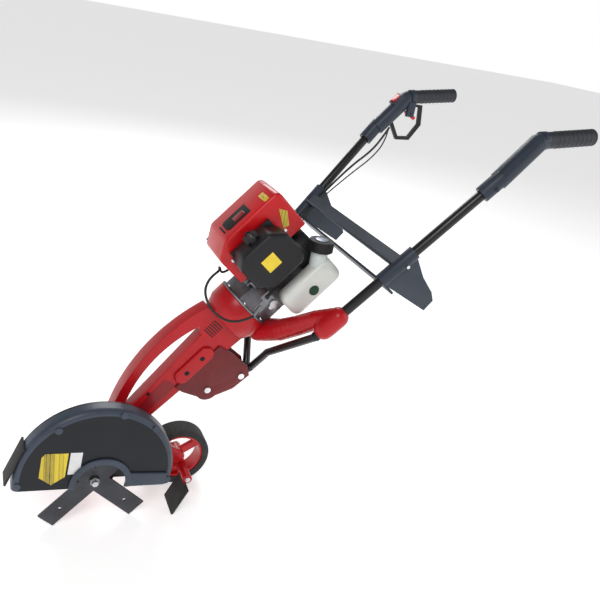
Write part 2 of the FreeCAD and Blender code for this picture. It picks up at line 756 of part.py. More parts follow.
def fan_case():
    length = 30
    start = FAN_START - 4
    outer = rod("X", s.fan_cover_radius, length, start, 0, 0)
    inner = rod("X", s.fan_cover_radius - 3, length - 3, start + 3, 0, 0)
    hole = rod("X", 18, 10, start - 2, 0, 0)
    node("fan_housing", cut(outer, inner, hole), "chassis")
    back = start + length
    cover = cone("X", s.fan_cover_radius, s.fan_cover_radius - 8, 22, back, 0, 0)
    cavity = cone("X", s.fan_cover_radius - 3, s.fan_cover_radius - 11, 19, back, 0, 0)
    slots = [box(back + 17, 26 * cosine(30 * index), 26 * sine(30 * index), 8, 14, 4,
                 roll=30 * index) for index in range(12)]
    rope_hole = rod("Y", 2, 40, back + 10, 25, 0)
    axle_radius = s.crank_radius + 2
    housing = fuse(cut(cover, cavity, rope_hole, *slots), rod("X", axle_radius, 13, back + 7, 0, 0))
    node("recoil_housing", housing, "chassis")
    node("recoil_reel", ring("X", 22, axle_radius + s.running_gap, 8, back + 6, 0, 0), "chassis")
    rope = rod("Y", 1.95, 36, back + 10, 26, 0)
    grip = fuse(box(back + 4, 62, -18, 12, 12, 36), rod("Y", 4, 5, back + 10, 57.6, 0))
    node("starter_handle", fuse(rope, grip), "chassis")


def air_cleaner():
    left, right, low, high = as_size(494), as_size(606), 47, 143
    base = fuse(box(left + 6, -62, low + 5, right - left - 12, 8, high - low - 10),
                box(left + 20, -54, 62, 40, 16, 34))
    node("air_cleaner_base", base, "chassis")
    node("air_filter", box(left + 24, -98, low + 20, right - left - 48, 36, high - low - 40),
         "chassis")
    outline = [(left, low + 26), (left + 26, low), (right - 12, low), (right, low + 12),
               (right, high - 26), (right - 26, high), (left + 18, high), (left, high - 18)]
    inner = [(left + 4, low + 28), (left + 28, low + 4), (right - 14, low + 4),
             (right - 4, low + 14), (right - 4, high - 28), (right - 28, high - 4),
             (left + 20, high - 4), (left + 4, high - 20)]
    cover = cut(plate(outline, 54, -62), plate(inner, 49, -61))
    knob_x, knob_z = (left + right) / 2, high + 6.5
    lugs = [box(knob_x - 6, y, high - 0.5, 12, 3, 11) for y in (-101, -69)]
    holes = [rod("Y", 2, 40, knob_x, -103, knob_z)]
    node("air_cleaner_cover", cut(fuse(cover, *lugs), *holes), "chassis")
    latch = fuse(rod("Y", 4, 28, knob_x, -97.5, knob_z),
                 box(knob_x - 14, -97.5, knob_z - 2, 28, 28, 4),
                 rod("Y", 2 - s.running_gap, 34, knob_x, -100.5, knob_z))
    node("cleaner_latch", latch, "chassis")


def fuel_tank():
    left, right = as_size(509), as_size(638)
    near = box(left, -102, -54, right - left, 42, 62)
    under = box(left, -62, -60, 68, 122, 13)
    neck_x, neck_y, neck_radius = as_size(411), -79, 17
    tilt = s.chassis_tilt
    # the filler neck stands upright, whatever the tilt of the chassis
    foot_z, neck_top, cap_top = as_size(444), 498, 506
    along = neck_x * cosine(tilt) + foot_z * sine(tilt)
    across = foot_z * cosine(tilt) - neck_x * sine(tilt)
    neck = place(rod("Z", neck_radius, neck_top - foot_z), along, neck_y, across, pitch=tilt)
    hollow = fuse(box(left + 3, -99, -51, right - left - 6, 36, 56),
                  box(left + 3, -70, -57, 62, 127, 7))
    bore = place(rod("Z", neck_radius - 3, 80), along, neck_y, across, pitch=tilt)
    node("fuel_tank", cut(fuse(near, under, neck), hollow, bore), "chassis")
    cap_depth = 22
    cap = cut(rod("Z", s.cap_radius, cap_depth, neck_x, neck_y, cap_top - cap_depth),
              rod("Z", neck_radius + s.running_gap, neck_top + 0.4 - cap_top + cap_depth,
                  neck_x, neck_y, cap_top - cap_depth))
    node("fuel_cap", cap, "hub")


def carburettor():
    body = fuse(box(485, -92, -4, 20, 50, 44), rod("Z", 10, 14, 495, -69, -18),
                box(488, -54, 39, 24, 8, 20))
    shafts = [rod("Y", 2, 20, 495, -100, 10), rod("Y", 2, 20, 495, -100, 32)]
    # the cable's adjuster barrel sits on a tongue of the same casting
    adjuster = fuse(strut((452, -95, 22), (474, -95, 27), 3.2), box(462, -92.5, 16, 23, 3, 16))
    node("carburettor", cut(fuse(body, adjuster), *shafts), "chassis")
    pin = 2 - s.running_gap
    node("throttle_lever", fuse(rod("Y", 9, 4, 495, -97, 10), box(482, -97, 6, 12, 4, 8),
                                rod("Y", pin, 14, 495, -97, 10)), "chassis")
    node("choke_lever", fuse(rod("Y", 4, 3, 495, -96, 32), box(495, -96, 30, 22, 3, 5),
                             rod("Y", pin, 12, 495, -96, 32)), "chassis")

def muffler():
    low, high = 52, 112
    outer = box(486, 50.4, low, 80, 50, high - low)
    inner = box(489, 53, low + 3, 74, 44, high - low - 6)
    slots = [box(492 + 12 * index, 98, low + 6, 6, 10, 46) for index in range(6)]
    heat_guard = cut(box(480, 100.4, low - 4, 92, 4, high - low + 8), *slots)
    pipe = box(515, 38, 76, 22, 12.4, 16)
    node("muffler", fuse(cut(outer, inner), pipe, heat_guard), "chassis")


# ---- handles ----------------------------------------------------------------------

def side_name(side):
    return "right" if side > 0 else "left"


def tube_spot(side, along):
    """A point on the axis of a handle tube, in the handle frame."""
    reach = as_size(along)
    return (reach * cosine(s.tube_splay),
            side * (s.tube_foot_y + reach * sine(s.tube_splay)), as_size(0))


def along_tube(side, radius, start, length):
    piece = doc.addObject("Part::Cylinder", "along_tube")
    bind(piece, "Radius", radius)
    bind(piece, "Height", length)
    return place(piece, *tube_spot(side, start), yaw=side * s.tube_splay, pitch=90)


def in_hub(spot):
    """Turn a point of the handle frame into one of the hub frame."""
    x, y, z = spot
    slope = s.tube_slope
    return (s.tube_foot_x + x * cosine(slope) - z * sine(slope), y,
            s.tube_foot_z + x * sine(slope) + z * cosine(slope))


def handle_tube(side):
    tube = cut(along_tube(side, s.tube_radius, 0, s.tube_length),
               along_tube(side, s.tube_radius - s.tube_wall, 0, s.tube_length))
    return tube


def fork_bar(side):
    top = in_hub(tube_spot(side, -14))
    spots = [(285, side * 11, 158), (333, side * 11, 179), (345, side * 60, 245), top]
    pieces = [ball(s.fork_radius, *spot) for spot in spots]
    pieces += [strut(start, end, s.fork_radius) for start, end in zip(spots, spots[1:])]
    pieces.append(place_in_hub(along_tube(side, s.tube_radius, -14, 14)))
    pieces.append(place_in_hub(along_tube(side, s.tube_radius - s.tube_wall, -10, 40)))
    x, z = FORK_BOLT_SPOT
    tools = [place_in_chassis(rod("Y", s.bolt_radius, 80, x, -40, z)),
             place_in_chassis(box(200, side * (HALF_CHASSIS + 2.5) - 2.5, -145, 160, 5, 150))]
    return cut(fuse(*pieces), *tools)


def place_in_hub(piece):
    """Stand a piece of the handle frame in the hub frame."""
    return place(group(piece), s.tube_foot_x, 0, s.tube_foot_z, pitch=-s.tube_slope)


def place_in_chassis(piece):
    """Stand a piece of the chassis frame in the hub frame."""
    return place(group(piece), pitch=-s.chassis_tilt)


def shoulder(side):
    start = (338, side * 16, 278)
    end = in_hub(tube_spot(side, 26))
    arm = fuse(strut(start, end, 27, 17), place_in_hub(along_tube(side, 20.5, 4, 52)))
    tools = [place_in_hub(along_tube(side, s.tube_radius, -20, 120)),
             place_in_chassis(box(300, -HALF_CHASSIS, -120, 92, s.chassis_width, 160)),
             place_in_chassis(rod("X", s.bell_radius, 62, s.chassis_end - 4, 0, 0)),
             place_in_chassis(box(CASE_FRONT, -62, -68, 200, 124, 110)),
             place_in_chassis(box(507, -104, -68, 150, 208, 80))]
    return cut(arm, *tools)


def cross_brace():
    # Side plates hang from the tubes; a rail and a lower band join them.
    outline = [(176, -128), (203, -127), (212, -108), (218, -65), (236, -12), (236, 6), (152, 6),
               (152, -10)]
    inner = as_size(196)
    parts = [plate(outline, 6, inner + 6), plate(outline, 6, -inner),
             box(186, -inner, 5, 26, inner * 2, 6), box(186, -inner, 5, 4, inner * 2, 12),
             box(150, -inner, -44, 5, inner * 2, 40)]
    saddles = [along_tube(side, s.tube_radius + 4, 153, 84) for side in (-1, 1)]
    bores = [along_tube(side, s.tube_radius, 100, 200) for side in (-1, 1)]
    node("cross_brace", cut(fuse(*parts, *saddles), *bores), "handle")
    bolts = group(*[rod("Y", 3.5, 4, 205, y, -4) for y in (217.9, -221.9)])
    BOLTS.append(stand(bolts, "handle"))


GRIP_START = (752, 768.5)


def along_grip(side, radius, start, length, end_radius=None):
    """A round piece on the axis of a hand grip, in the hub frame."""
    x = GRIP_START[0] + start * cosine(s.grip_slope)
    z = GRIP_START[1] + start * sine(s.grip_slope)
    kind = "Part::Cylinder" if end_radius is None else "Part::Cone"
    piece = doc.addObject(kind, "along_grip")
    if end_radius is None:
        bind(piece, "Radius", radius)
    else:
        bind(piece, "Radius1", radius)
        bind(piece, "Radius2", end_radius)
    bind(piece, "Height", length)
    return place(piece, x, side * 228, z, pitch=90 - s.grip_slope)


TRIGGER_PIVOT = (743, 731)


def console(side):
    name = side_name(side)
    y = side * 230
    pieces = [place_in_hub(along_tube(side, s.tube_radius + 6, s.console_start - 12, 50)),
              strut((668, y, 686), (736, y, 764), 18), ball(16.5, 736, y, 764),
              along_grip(side, 17, -12, 12), along_grip(side, s.grip_core_radius, -6, 110)]
    tools = [place_in_hub(along_tube(side, s.tube_radius + s.running_gap, s.console_start - 30,
                                     s.tube_length - s.console_start + 31))]
    if side > 0:
        pieces.append(place_in_hub(box(498, 218, 0, 30, 24, 17)))
        tools.append(place_in_hub(box(501, 221, 8, 24, 18, 20)))
        tools.append(place_in_hub(rod("Y", 1.5, 23, 513, 218.5, 13)))
    shell = cut(fuse(*pieces), *tools)
    if side > 0:
        x, z = TRIGGER_PIVOT
        ear = cut(box(x - 10, 211, z - 8, 20, 8, 34), rod("Y", 2, 60, x, 200, z))
        pin = rod("Y", 2, 20, x, 214, z)
        shell = fuse(shell, ear, pin)
        loop = plate([(698, 706), (727, 664), (765, 666), (790, 705), (782, 752), (748, 752),
                      (748, 746), (774, 746), (780, 706), (760, 674), (731, 672), (707, 707)],
                     8, 234)
        node("trigger_guard", cut(loop, group(shell)), "hub")
    bolt_x, bolt_y, bolt_z = in_hub(tube_spot(side, s.console_start + 10))
    bolt = rod("Y", 3.5, 6.2, bolt_x, bolt_y + (15 if side > 0 else -21.2), bolt_z)
    node(f"{name}_console", fuse(shell, bolt), "hub")
    grip = cut(along_grip(side, s.grip_radius, 0, s.grip_length),
               along_grip(side, s.grip_core_radius, -6, 110))
    node(f"{name}_grip", grip, "hub")


def trigger_and_switch():
    x, z = TRIGGER_PIVOT
    lever = fuse(rod("Y", 6, 8, x, 223, z),
                 plate([(x, z - 5), (x + 20, z - 16), (x + 25, z - 10), (x + 4, z + 5)], 8, 231))
    node("throttle_trigger", cut(lever, rod("Y", 2 + s.running_gap, 30, x, 215, z)), "hub")
    rocker = fuse(box(502, 222, 10, 22, 16, 8), box(502, 222, 17, 7, 16, 3),
                  rod("Y", 1.5 - s.running_gap, 22, 513, 219, 13))
    node("stop_switch", rocker, "handle")


# ---- throttle cable and stop wire -------------------------------------------------

def rounded_path(points):
    """Straight runs joined by tangent arcs, each as large as its two runs allow."""
    spots = [Vector(*point) for point in points]
    edges = []
    radii = []
    last = spots[0]
    for before, corner, after in zip(spots, spots[1:], spots[2:]):
        come, leave = corner - before, after - corner
        turn = come.getAngle(leave)
        reach = 0.45 * min(come.Length, leave.Length)
        radii.append(reach / math.tan(turn / 2))
        start = corner - come.normalize() * reach
        end = corner + leave.normalize() * reach
        inwards = ((start + end) / 2 - corner).normalize()
        middle = corner + inwards * (radii[-1] / math.cos(turn / 2) - radii[-1])
        edges.append(Part.LineSegment(last, start).toShape())
        edges.append(Part.Arc(start, middle, end).toShape())
        last = end
    edges.append(Part.LineSegment(last, spots[-1]).toShape())
    print("bend radii", [round(radius) for radius in radii])
    return Part.Wire(edges)


def cord(label, points, radius):
    path = rounded_path(points)
    start = Vector(*points[0])
    heading = Vector(*points[1]) - start
    section = Part.Wire([Part.makeCircle(float(radius), start, heading)])
    tube = doc.addObject("Part::Feature", "cord")
    tube.Shape = path.makePipeShell([section], True, False)
    whole = math.pi * float(radius) ** 2 * path.Length
    print(label, "length", round(path.Length), "volume ratio", round(tube.Shape.Volume / whole, 3))
    node(label, tube, "hub")


THROTTLE_ROUTE = ((699, 222, 691), (684, 214, 672), (655, 207, 634), (600, 200, 592),
                  (518, 186, 507), (484, 172, 466), (440, 130, 480), (409, 62, 520),
                  (272, 62, 366), (242, 26, 404), (227, -36, 424),
                  (198, -52, 410), (188, -64, 385), (205, -80, 350), (250, -94, 330),
                  (285.3, -95, 349.4))

STOP_ROUTE = ((703, 230, 690), (688, 208, 660), (655, 198, 620), (600, 190, 578), (518, 178, 507),
              (484, 162, 464), (440, 118, 470), (400, 52, 510), (378, 40, 540))


def cables():
    cord("throttle_cable", THROTTLE_ROUTE, s.cable_radius)
    cord("stop_wire", STOP_ROUTE, s.wire_radius)


# ---- build ------------------------------------------------------------------------

blade()
arbor()
bevel_gears()
gear_case()
guard()
backplate()
front_flap()
wheel_arm()
wheel()
chassis_half("chassis_left_shell", False)
chassis_half("chassis_right_shell", True)
lower_bracket()
clutch()
crank_train()
crankcase()
cylinder()
shroud()
fan_case()
air_cleaner()
fuel_tank()
carburettor()
muffler()
for side in (-1, 1):
    console(side)
node("handle_tubes", group(handle_tube(-1), handle_tube(1)), "handle")
node("fork_bars", group(fork_bar(-1), fork_bar(1)), "hub")
node("shoulders", group(shoulder(-1), shoulder(1)), "hub")
cross_brace()
node("frame_bolts", group(*BOLTS), "ground")
node("shaft_bearings", group(*BEARINGS), "chassis")
trigger_and_switch()
cables()

doc.recompute()
for thing in doc.Objects:
    if "Invalid" in thing.State or "Error" in thing.State:
        raise RuntimeError(f"{thing.Label} did not build: {thing.State}")
os.makedirs("parts", exist_ok=True)
for piece in NODES:
    if piece.Shape.isNull() or not piece.Shape.isValid():
        raise RuntimeError(f"{piece.Label} is not a sound solid")
    piece.Shape.exportStep(f"parts/{piece.Label}.step")
print(len(NODES), "sub-parts")
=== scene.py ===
import json
import math

import bpy
from mathutils import Matrix, Vector


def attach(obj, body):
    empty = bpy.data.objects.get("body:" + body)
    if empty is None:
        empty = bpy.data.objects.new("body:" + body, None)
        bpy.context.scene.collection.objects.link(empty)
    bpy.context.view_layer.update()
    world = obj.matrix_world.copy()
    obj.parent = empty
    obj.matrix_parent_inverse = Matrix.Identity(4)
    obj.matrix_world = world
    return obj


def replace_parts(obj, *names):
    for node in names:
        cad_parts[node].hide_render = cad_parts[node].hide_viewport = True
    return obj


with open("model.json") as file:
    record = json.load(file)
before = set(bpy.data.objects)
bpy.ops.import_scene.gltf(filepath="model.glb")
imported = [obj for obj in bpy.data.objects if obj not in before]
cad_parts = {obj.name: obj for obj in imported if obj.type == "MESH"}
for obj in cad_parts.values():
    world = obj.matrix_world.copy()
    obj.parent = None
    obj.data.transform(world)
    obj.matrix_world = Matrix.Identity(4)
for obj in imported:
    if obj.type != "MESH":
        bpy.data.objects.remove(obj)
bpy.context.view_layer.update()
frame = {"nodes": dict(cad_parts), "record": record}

record = frame["record"]
bodyOfNode = {}
for bodyName, members in record["behaviour"]["bodies"].items():
    for member in members:
        bodyOfNode[member] = bodyName

# Where the slanted frames stand: the hub in metres, the handle's foot in millimetres from it.
machine = {"hubX": -0.350202, "hubZ": 0.102824, "chassisTilt": 48.0,
           "handleFootX": 392.0, "handleFootZ": 352.0, "handleSlope": 50.7, "guardPitch": -5.5}


def hubPoint(x, y, z):
    return Vector((machine["hubX"] + x / 1000, y / 1000, machine["hubZ"] + z / 1000))


def frameMatrix(name):
    tilt = {"chassis": machine["chassisTilt"], "handle": machine["handleSlope"],
            "guard": machine["guardPitch"], "hub": 0.0}[name]
    start = hubPoint(0, 0, 0)
    if name == "handle":
        start = hubPoint(machine["handleFootX"], 0, machine["handleFootZ"])
    return Matrix.Translation(start) @ Matrix.Rotation(-math.radians(tilt), 4, "Y")


# The camera stands where the machine was looked at from.
camera = {"place": (-0.547202, -1.175, 1.003), "right": (0.9011, -0.397, 0.1752),
          "up": (0.0121, 0.4267, 0.9045), "lens": 39.76}


def addCamera():
    right = Vector(camera["right"]).normalized()
    up = Vector(camera["up"])
    up = (up - right * up.dot(right)).normalized()
    back = right.cross(up)
    data = bpy.data.cameras.new("mainCamera")
    data.lens = camera["lens"]
    data.sensor_width = 36.0
    data.clip_start = 0.05
    data.clip_end = 60.0
    thing = bpy.data.objects.new("mainCamera", data)
    bpy.context.scene.collection.objects.link(thing)
    turn = Matrix((right, up, back)).transposed().to_4x4()
    thing.matrix_world = Matrix.Translation(Vector(camera["place"])) @ turn
    bpy.context.scene.camera = thing


addCamera()


# Socket lets node outputs be added and multiplied like numbers.
class Socket:
    def __init__(self, tree, link):
        self.tree = tree
        self.link = link

    def maths(self, operation, first, second):
        return self.tree.add("ShaderNodeMath", {"operation": operation}, {0: first, 1: second})

    def __add__(self, other):
        return self.maths("ADD", self, other)

    def __radd__(self, other):
        return self.maths("ADD", other, self)

    def __sub__(self, other):
        return self.maths("SUBTRACT", self, other)

    def __rsub__(self, other):
        return self.maths("SUBTRACT", other, self)

    def __mul__(self, other):
        return self.maths("MULTIPLY", self, other)

    def __rmul__(self, other):
        return self.maths("MULTIPLY", other, self)


class Finish:
    def __init__(self, name):
        self.material = bpy.data.materials.new(name)
        self.material.use_nodes = True
        self.nodes = self.material.node_tree.nodes
        self.links = self.material.node_tree.links
        self.shader = self.nodes["Principled BSDF"]

    def put(self, socket, value):
        if isinstance(value, Socket):
            self.links.new(value.link, socket)
        else:
            socket.default_value = value

    def add(self, kind, settings=None, inputs=None, output=0):
        node = self.nodes.new(kind)
        for key, value in (settings or {}).items():
            if key == "stops":
                ramp = node.color_ramp
                for index, (place, colour) in enumerate(value):
                    stop = ramp.elements[index] if index < 2 else ramp.elements.new(place)
                    stop.position = place
                    stop.color = colour
            else:
                setattr(node, key, value)
        for key, value in (inputs or {}).items():
            self.put(node.inputs[key], value)
        return Socket(self, node.outputs[output])

    def place(self, scale=(1, 1, 1), turn=(0, 0, 0)):
        base = self.add("ShaderNodeTexCoord", output="Object")
        return self.add("ShaderNodeMapping", {}, {"Vector": base, "Scale": scale, "Rotation": turn})

    def noise(self, scale, detail=3.0, stretch=(1, 1, 1), turn=(0, 0, 0)):
        return self.add("ShaderNodeTexNoise", {}, {"Vector": self.place(stretch, turn),
                                                   "Scale": scale, "Detail": detail})

    def ramp(self, factor, low, high):
        return self.add("ShaderNodeMapRange", {}, {"Value": factor, "From Min": low, "From Max": high})

    def mix(self, factor, first, second):
        node = self.nodes.new("ShaderNodeMix")
        node.data_type = "RGBA"
        self.put(node.inputs["Factor"], factor)
        self.put(node.inputs[6], first)
        self.put(node.inputs[7], second)
        return Socket(self, node.outputs[2])

    def bump(self, height, distance, strength=0.6):
        return self.add("ShaderNodeBump", {}, {"Height": height, "Distance": distance,
                                               "Strength": strength})

    def surface(self, **values):
        for key, value in values.items():
            self.put(self.shader.inputs[key.replace("_", " ")], value)
        return self.material


def shade(colour, factor):
    return tuple(min(1.0, part * factor) for part in colour[:3]) + (1.0,)


def glossyPaint(name, colour, grime=0.25, coat=0.2):
    finish = Finish(name)
    cloud = finish.noise(9.0, 4.0)
    dust = finish.ramp(finish.noise(38.0, 6.0), 0.52, 0.78) * grime
    skin = finish.mix(finish.ramp(cloud, 0.3, 0.7), shade(colour, 0.86), shade(colour, 1.08))
    tint = finish.mix(dust, skin, shade(colour, 0.45))
    peel = finish.noise(420.0, 2.0)
    return finish.surface(Base_Color=tint, Roughness=0.34 + dust * 0.4, Coat_Weight=coat,
                          Coat_Roughness=0.16, Specular_IOR_Level=0.28,
                          Normal=finish.bump(peel, 0.00025, 0.25))


def mouldedPlastic(name, colour, roughness=0.45, grain=900.0, depth=0.0002, sheen=0.0):
    finish = Finish(name)
    cloud = finish.ramp(finish.noise(14.0, 4.0), 0.3, 0.7)
    skin = finish.mix(cloud, shade(colour, 0.84), shade(colour, 1.15))
    scuff = finish.ramp(finish.noise(60.0, 8.0, (1, 1, 5)), 0.6, 0.75) * 0.18
    tint = finish.mix(scuff, skin, shade(colour, 2.2))
    grainBump = finish.bump(finish.noise(grain, 2.0), depth, 0.5)
    return finish.surface(Base_Color=tint, Roughness=roughness + scuff * 0.6,
                          Specular_IOR_Level=0.3, Normal=grainBump, Sheen_Weight=sheen)


def brushedMetal(name, colour, roughness=0.3, streak=(1, 12, 1), scale=160.0, metal=1.0):
    finish = Finish(name)
    lines = finish.noise(scale, 3.0, streak)
    blotch = finish.ramp(finish.noise(22.0, 5.0), 0.35, 0.72)
    tint = finish.mix(blotch, shade(colour, 0.78), shade(colour, 1.12))
    return finish.surface(Base_Color=tint, Roughness=finish.ramp(lines, 0.2, 0.9) * 0.22 + roughness,
                          Metallic=metal, Normal=finish.bump(lines, 0.0002, 0.3))


def castMetal(name, colour, roughness=0.45, metal=1.0):
    finish = Finish(name)
    sand = finish.noise(520.0, 4.0)
    patch = finish.ramp(finish.noise(30.0, 5.0), 0.38, 0.7)
    tint = finish.mix(patch, shade(colour, 0.7), shade(colour, 1.1))
    return finish.surface(Base_Color=tint, Roughness=roughness + patch * 0.15, Metallic=metal,
                          Normal=finish.bump(sand, 0.0004, 0.45))


def rubber(name, colour, roughness=0.72, dust=0.25):
    finish = Finish(name)
    powder = finish.ramp(finish.noise(48.0, 7.0), 0.48, 0.8) * dust
    tint = finish.mix(powder, colour + (1.0,), (0.13, 0.12, 0.11, 1.0))
    return finish.surface(Base_Color=tint, Roughness=roughness + powder * 0.2,
                          Normal=finish.bump(finish.noise(700.0, 3.0), 0.0003, 0.5))


def hazyTank(name):
    finish = Finish(name)
    level = finish.ramp(finish.noise(7.0, 3.0, (1, 1, 2.5)), 0.35, 0.7)
    tint = finish.mix(level, (0.66, 0.68, 0.64, 1.0), (0.86, 0.87, 0.84, 1.0))
    return finish.surface(Base_Color=tint, Roughness=0.3, Subsurface_Weight=0.15,
                          Normal=finish.bump(finish.noise(240.0, 2.0), 0.0002, 0.3))


def foam(name, colour):
    finish = Finish(name)
    cells = finish.add("ShaderNodeTexVoronoi", {}, {"Vector": finish.place(), "Scale": 900.0})
    tint = finish.mix(finish.ramp(cells, 0.1, 0.7), shade(colour, 0.5), shade(colour, 1.4))
    return finish.surface(Base_Color=tint, Roughness=0.95, Normal=finish.bump(cells, 0.0005, 0.8))


def labelPrint(name, paper, ink, rows=240.0, turn=(0, 0, 0)):
    # plain printed blocks on the label, with no letters in them
    finish = Finish(name)
    blocks = finish.add("ShaderNodeTexBrick", {"offset": 0.4, "squash": 1.0},
                        {"Vector": finish.place((1, 1, 1), turn), "Scale": rows, "Color1": ink,
                         "Color2": paper, "Mortar": paper, "Mortar Size": 0.03, "Bias": 0.1})
    worn = finish.ramp(finish.noise(90.0, 5.0), 0.35, 0.6)
    tint = finish.mix(worn * 0.25, blocks, shade(paper, 0.82))
    return finish.surface(Base_Color=tint, Roughness=0.35)


finishes = {
    "steel_dark": brushedMetal("darkBladeSteel", (0.075, 0.077, 0.085), 0.34, (9, 1, 1), 140.0, 0.9),
    "steel_bright": brushedMetal("turnedSteel", (0.58, 0.58, 0.6), 0.22),
    "red_casting": glossyPaint("redGearCase", (0.42, 0.004, 0.010), 0.35),
    "black_screws": brushedMetal("blackScrewSteel", (0.03, 0.03, 0.033), 0.3),
    "guard_dark": mouldedPlastic("guardCharcoal", (0.009, 0.011, 0.015), 0.36, 1100.0, 0.00015),
    "black_rubber": rubber("blackRubber", (0.014, 0.014, 0.015)),
    "red_paint": glossyPaint("redChassisPaint", (0.46, 0.004, 0.009), 0.18),
    "red_plastic": glossyPaint("redCoverPlastic", (0.56, 0.004, 0.008), 0.12, 0.3),
    "dark_red_plastic": glossyPaint("darkRedPlastic", (0.15, 0.003, 0.006), 0.3, 0.3),
    "chrome_bolts": brushedMetal("brightBolts", (0.8, 0.8, 0.82), 0.1, (1, 1, 1), 300.0),
    "bare_aluminium": castMetal("castAluminium", (0.30, 0.31, 0.33), 0.45),
    "black_plastic": mouldedPlastic("blackPlastic", (0.013, 0.013, 0.015), 0.42),
    "foam_dark": foam("filterFoam", (0.05, 0.05, 0.05)),
    "tank_white": hazyTank("hazyTank"),
    "black_paint": glossyPaint("blackTubePaint", (0.008, 0.008, 0.009), 0.1, 0.3),
    "slate_plastic": mouldedPlastic("slatePlastic", (0.030, 0.040, 0.058), 0.40),
    "slate_rubber": rubber("slateRubber", (0.016, 0.019, 0.026), 0.55, 0.10),
}
trims = {
    "rim": mouldedPlastic("guardRimSlate", (0.050, 0.064, 0.090), 0.33, 1100.0, 0.00015),
    "yellow": labelPrint("yellowLabel", (0.83, 0.62, 0.03, 1.0), (0.03, 0.03, 0.03, 1.0), 150.0),
    "white": labelPrint("whiteLabel", (0.75, 0.76, 0.75, 1.0), (0.10, 0.10, 0.11, 1.0), 170.0),
    # the dark trim is near-black: a dark insert on the shroud top, and painted shade standing in for holes,
    # vents and louvre slots
    "dark": mouldedPlastic("darkInsert", (0.006, 0.006, 0.007), 0.6),
    "green": mouldedPlastic("darkGreenBadge", (0.01, 0.045, 0.022), 0.3),
    "darkSteel": brushedMetal("darkNutSteel", (0.26, 0.26, 0.27), 0.3),
    "silver": brushedMetal("silverDisc", (0.45, 0.5, 0.58), 0.25),
    # a darker red: trim on the shroud boss and the nose bump, and painted recess shade on the chassis side
    # panels
    "paleRed": glossyPaint("recessedRed", (0.26, 0.003, 0.007), 0.2, 0.3),
}
slotOfNode = {part["node"]: part["material_slot"] for part in record["subparts"]}
for nodeName, thing in frame["nodes"].items():
    thing.data.materials.clear()
    thing.data.materials.append(finishes[slotOfNode[nodeName]])
print("finishes ready")


def onlySelect(*things):
    if bpy.context.mode != "OBJECT":
        bpy.ops.object.mode_set(mode="OBJECT")
    bpy.ops.object.select_all(action="DESELECT")
    for thing in things:
        thing.select_set(True)
    bpy.context.view_layer.objects.active = things[-1]


def settle(piece):
    onlySelect(piece)
    bpy.ops.object.transform_apply(location=True, rotation=True, scale=True)
    return piece


def smooth(piece, angle=38):
    onlySelect(piece)
    bpy.ops.object.shade_smooth_by_angle(angle=math.radians(angle))


def modify(piece, kind, **settings):
    onlySelect(piece)
    modifier = piece.modifiers.new(kind.lower(), kind)
    for key, value in settings.items():
        setattr(modifier, key, value)
    bpy.ops.object.modifier_apply(modifier=modifier.name)


def soften(piece, width, segments=3, angle=32):
    modify(piece, "BEVEL", width=width, segments=segments, limit_method="ANGLE",
           angle_limit=math.radians(angle), use_clamp_overlap=True)
    smooth(piece)


def finishAs(piece, body, slot, material=None):
    piece.data.materials.clear()
    piece.data.materials.append(material or finishes[slot])
    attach(piece, body)
    return piece


def roundedCopy(node, width, segments=3, angle=32, slot=None):
    # a merged copy of a node's mesh, with its hard edges rounded off
    source = frame["nodes"][node]
    piece = bpy.data.objects.new(node.replace("_", "") + "Skin", source.data.copy())
    bpy.context.scene.collection.objects.link(piece)
    onlySelect(piece)
    bpy.ops.object.mode_set(mode="EDIT")
    bpy.ops.mesh.select_all(action="SELECT")
    bpy.ops.mesh.remove_doubles(threshold=0.00002)
    bpy.ops.mesh.dissolve_limited(angle_limit=math.radians(1.5))
    bpy.ops.object.mode_set(mode="OBJECT")
    soften(piece, width, segments, angle)
    finishAs(piece, bodyOfNode[node], slot or slotOfNode[node])
    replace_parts(piece, node)
    return piece


def block(name, where, size, rounding=0.001, turn=None):
    # a bevelled block whose place is given by a matrix
    bpy.ops.object.select_all(action="DESELECT")
    bpy.ops.mesh.primitive_cube_add(size=1)
    piece = bpy.context.active_object
    piece.name = name
    piece.matrix_world = where @ Matrix.Diagonal((*size, 1.0))
    settle(piece)
    soften(piece, rounding)
    return piece


def disc(name, where, radius, depth, sides=48, rounding=0.0006):
    bpy.ops.object.select_all(action="DESELECT")
    bpy.ops.mesh.primitive_cylinder_add(vertices=sides, radius=radius, depth=depth)
    piece = bpy.context.active_object
    piece.name = name
    piece.matrix_world = where
    settle(piece)
    soften(piece, rounding)
    return piece


def joined(name, pieces):
    onlySelect(*pieces)
    bpy.ops.object.join()
    piece = bpy.context.active_object
    piece.name = name
    return piece


def spot(frameName, x, y, z, turn="Z"):
    # a matrix at a point of a slanted frame, in millimetres, its Z along the named axis
    turns = {"Z": Matrix.Identity(4), "Y": Matrix.Rotation(math.radians(90), 4, "X"),
             "X": Matrix.Rotation(math.radians(90), 4, "Y")}
    return frameMatrix(frameName) @ Matrix.Translation(Vector((x, y, z)) / 1000) @ turns[turn]


# How far each plain node is rounded, in metres.
roundings = {"lower_bracket": 0.003,
             "crankcase": 0.003, "cylinder": 0.0008, "muffler": 0.003, "fan_housing": 0.003,
             "recoil_housing": 0.002, "cross_brace": 0.0022, "gear_case": 0.0025,
             "gear_case_cover": 0.002, "clutch_housing": 0.003, "wheel_arm": 0.003,
             "wheel_hub": 0.002, "left_console": 0.002, "right_console": 0.002,
             "trigger_guard": 0.0022, "throttle_trigger": 0.0015, "stop_switch": 0.001,
             "starter_handle": 0.003, "blade": 0.0006, "front_flap": 0.001, "rear_flap": 0.001,
             "carburettor": 0.0012, "air_cleaner_base": 0.001, "cleaner_latch": 0.001,
             "handle_tubes": 0.0004, "frame_bolts": 0.0006,
             "cutting_end_screws": 0.0005, "engine_screws": 0.0006, "axle": 0.0006,
             "choke_lever": 0.0006, "throttle_lever": 0.0006}
skins = {}
for nodeName, width in roundings.items():
    skins[nodeName] = roundedCopy(nodeName, width)
print("covers rounded")


